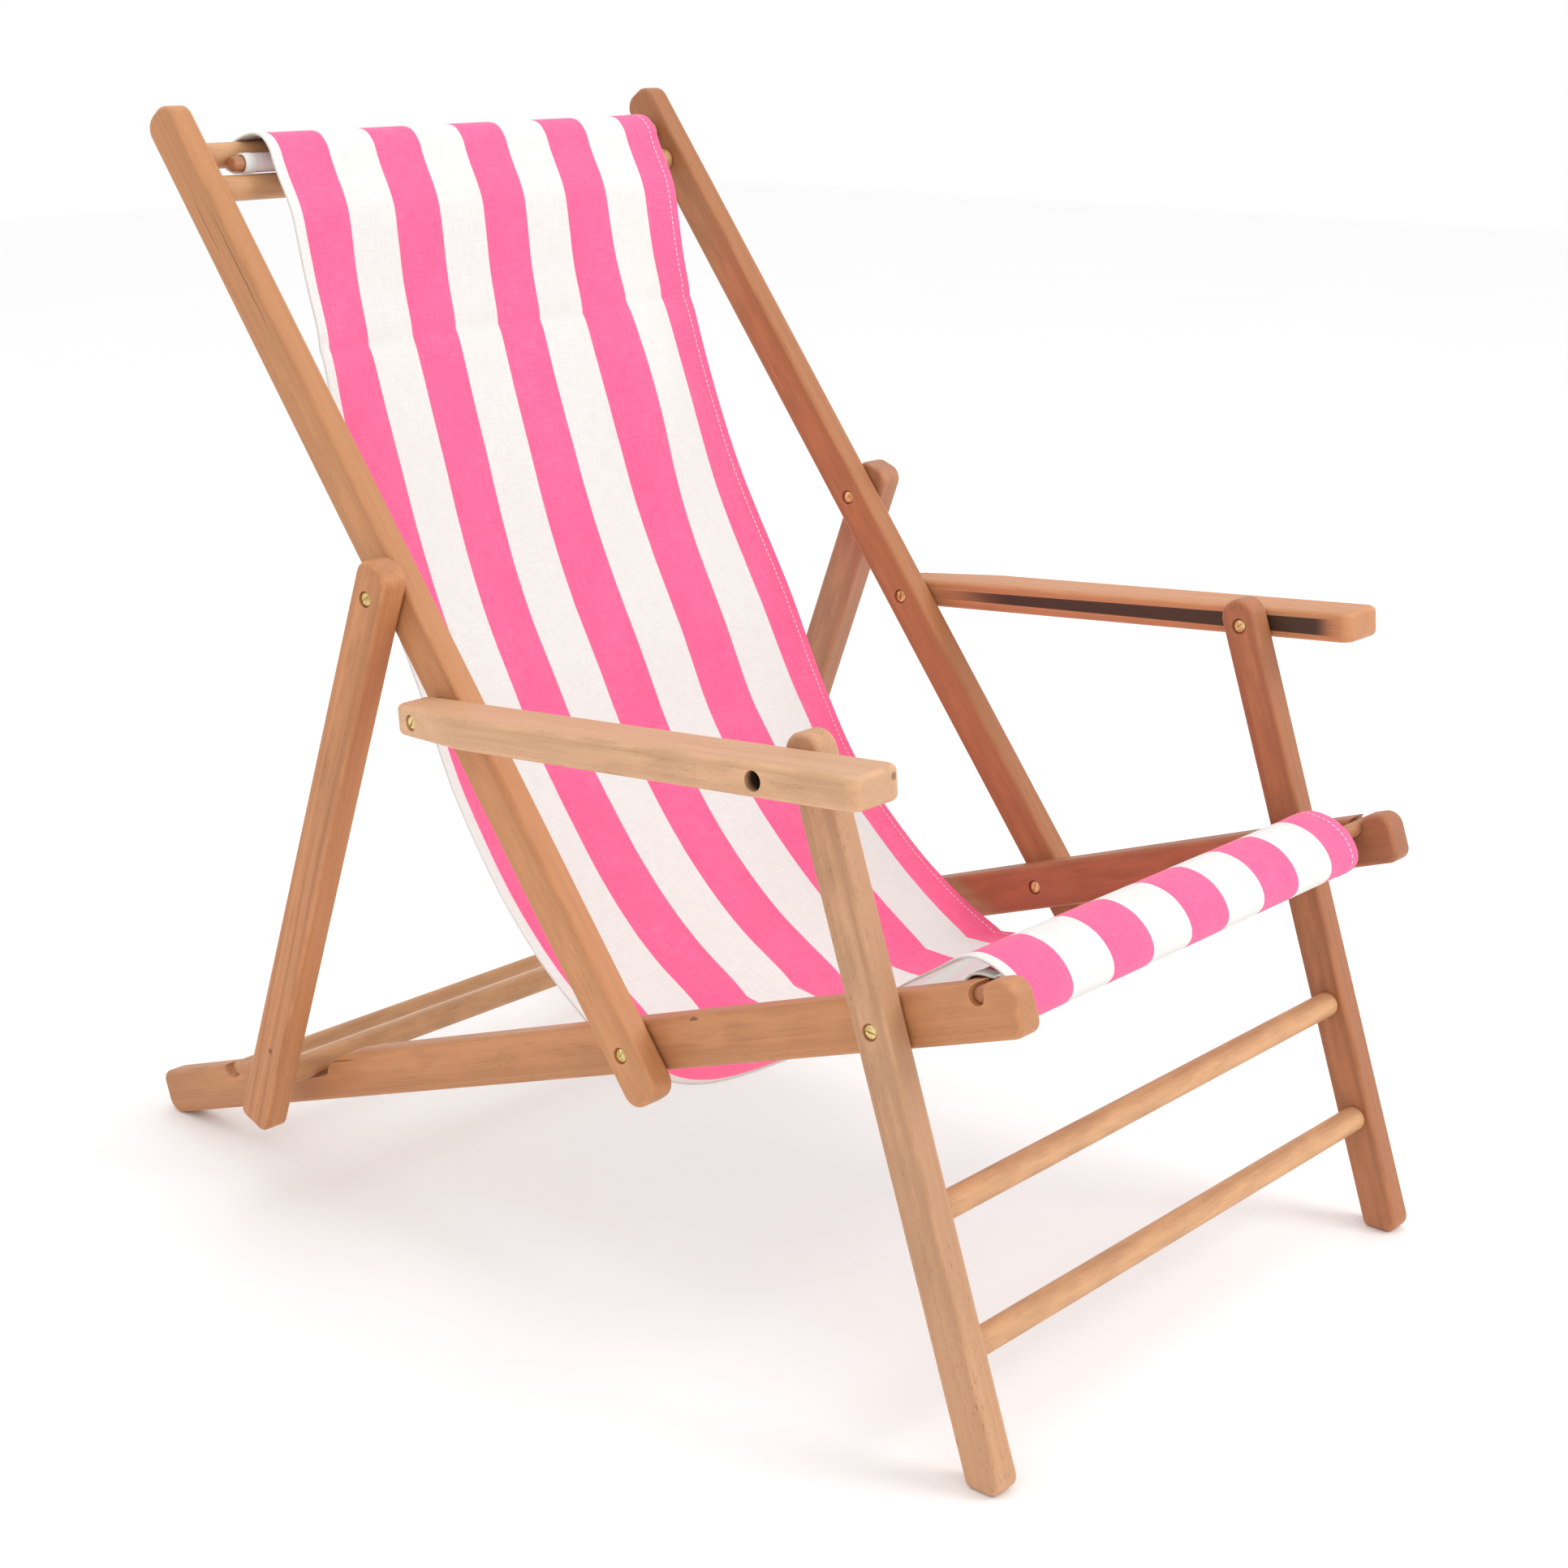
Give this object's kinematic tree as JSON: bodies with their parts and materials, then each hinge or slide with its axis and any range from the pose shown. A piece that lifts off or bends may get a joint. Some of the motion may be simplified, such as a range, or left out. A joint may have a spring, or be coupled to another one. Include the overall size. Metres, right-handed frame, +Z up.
{
  "type": "folding deck chair",
  "caption": "Folding wooden deck chair with armrests and a reclining back, with a striped canvas sling hung from its head dowels and wrapped round its front crossbar.",
  "frame": {"origin": "centre of the base of the open chair's box, on the ground, halfway between its sides", "axes": "+Z up; the sitter faces -Y; +X is the sitter's left; the stripes run along the chair in the YZ plane"},
  "size_m": [0.646, 0.9522, 0.8741],
  "materials": {
    "teak": "oiled reddish tan hardwood, satin",
    "brass": "lightly dulled brass",
    "canvas": "matt woven canvas, pink with white stripes down its length"
  },
  "bodies": {
    "seat_frame": {"seat_rail_left": "teak", "seat_rail_right": "teak", "seat_front_crossbar": "teak", "seat_rear_stretcher": "teak", "sling_rod_seat": "teak", "sling": "canvas", "back_pivot_sleeve_nut_left": "brass", "back_pivot_sleeve_nut_right": "brass", "back_pivot_screw_left": "brass", "back_pivot_screw_right": "brass", "back_pivot_washer_left": "brass", "back_pivot_washer_right": "brass", "front_leg_pivot_sleeve_nut_left": "brass", "front_leg_pivot_sleeve_nut_right": "brass", "front_leg_pivot_screw_left": "brass", "front_leg_pivot_screw_right": "brass", "front_leg_pivot_washer_left": "brass", "front_leg_pivot_washer_right": "brass"},
    "back_frame": {"back_post_left": "teak", "back_post_right": "teak", "head_dowel_upper": "teak", "head_dowel_lower": "teak", "sling_rod_head": "teak", "brace_pivot_sleeve_nut_left": "brass", "brace_pivot_sleeve_nut_right": "brass", "brace_pivot_screw_left": "brass", "brace_pivot_screw_right": "brass", "brace_pivot_washer_left": "brass", "brace_pivot_washer_right": "brass", "armrest_rear_pivot_sleeve_nut_left": "brass", "armrest_rear_pivot_sleeve_nut_right": "brass", "armrest_rear_pivot_screw_left": "brass", "armrest_rear_pivot_screw_right": "brass", "armrest_rear_pivot_washer_left": "brass", "armrest_rear_pivot_washer_right": "brass"},
    "brace": {"brace_leg_left": "teak", "brace_leg_right": "teak", "brace_bar": "teak"},
    "front_legs": {"front_leg_left": "teak", "front_leg_right": "teak", "front_rung_upper": "teak", "front_rung_lower": "teak", "armrest_front_pivot_sleeve_nut_left": "brass", "armrest_front_pivot_sleeve_nut_right": "brass", "armrest_front_pivot_washer_left": "brass", "armrest_front_pivot_washer_right": "brass"},
    "armrests": {"armrest_left": "teak", "armrest_right": "teak", "armrest_front_pivot_screw_left": "brass", "armrest_front_pivot_screw_right": "brass"}
  },
  "joints": [
    {"name": "back_fold", "type": "hinge", "parent": "seat_frame", "child": "back_frame", "pos_m": [0, -0.1279, 0.2224], "axis": [-1, 0, 0], "range_deg": [0, 71.5], "deforming": ["sling"]},
    {"name": "front_leg_fold", "type": "hinge", "parent": "seat_frame", "child": "front_legs", "pos_m": [0, -0.3613, 0.30322], "axis": [-1, 0, 0], "range_deg": [0, 90.3]},
    {"name": "armrest_swing", "type": "hinge", "parent": "back_frame", "child": "armrests", "pos_m": [0, 0.04344, 0.44814], "axis": [1, 0, 0], "range_deg": [0, 57.2]},
    {"name": "brace_swing", "type": "hinge", "parent": "back_frame", "child": "brace", "pos_m": [0, 0.10469, 0.52883], "axis": [1, 0, 0], "range_deg": [0, 140.3]}
  ],
  "couplings": [
    {"joint": "front_leg_fold", "follows": "back_fold", "ratio": 1.2613},
    {"joint": "armrest_swing", "follows": "back_fold", "ratio": 0.7984},
    {"joint": "brace_swing", "follows": "back_fold", "ratio": 1.96}
  ]
}
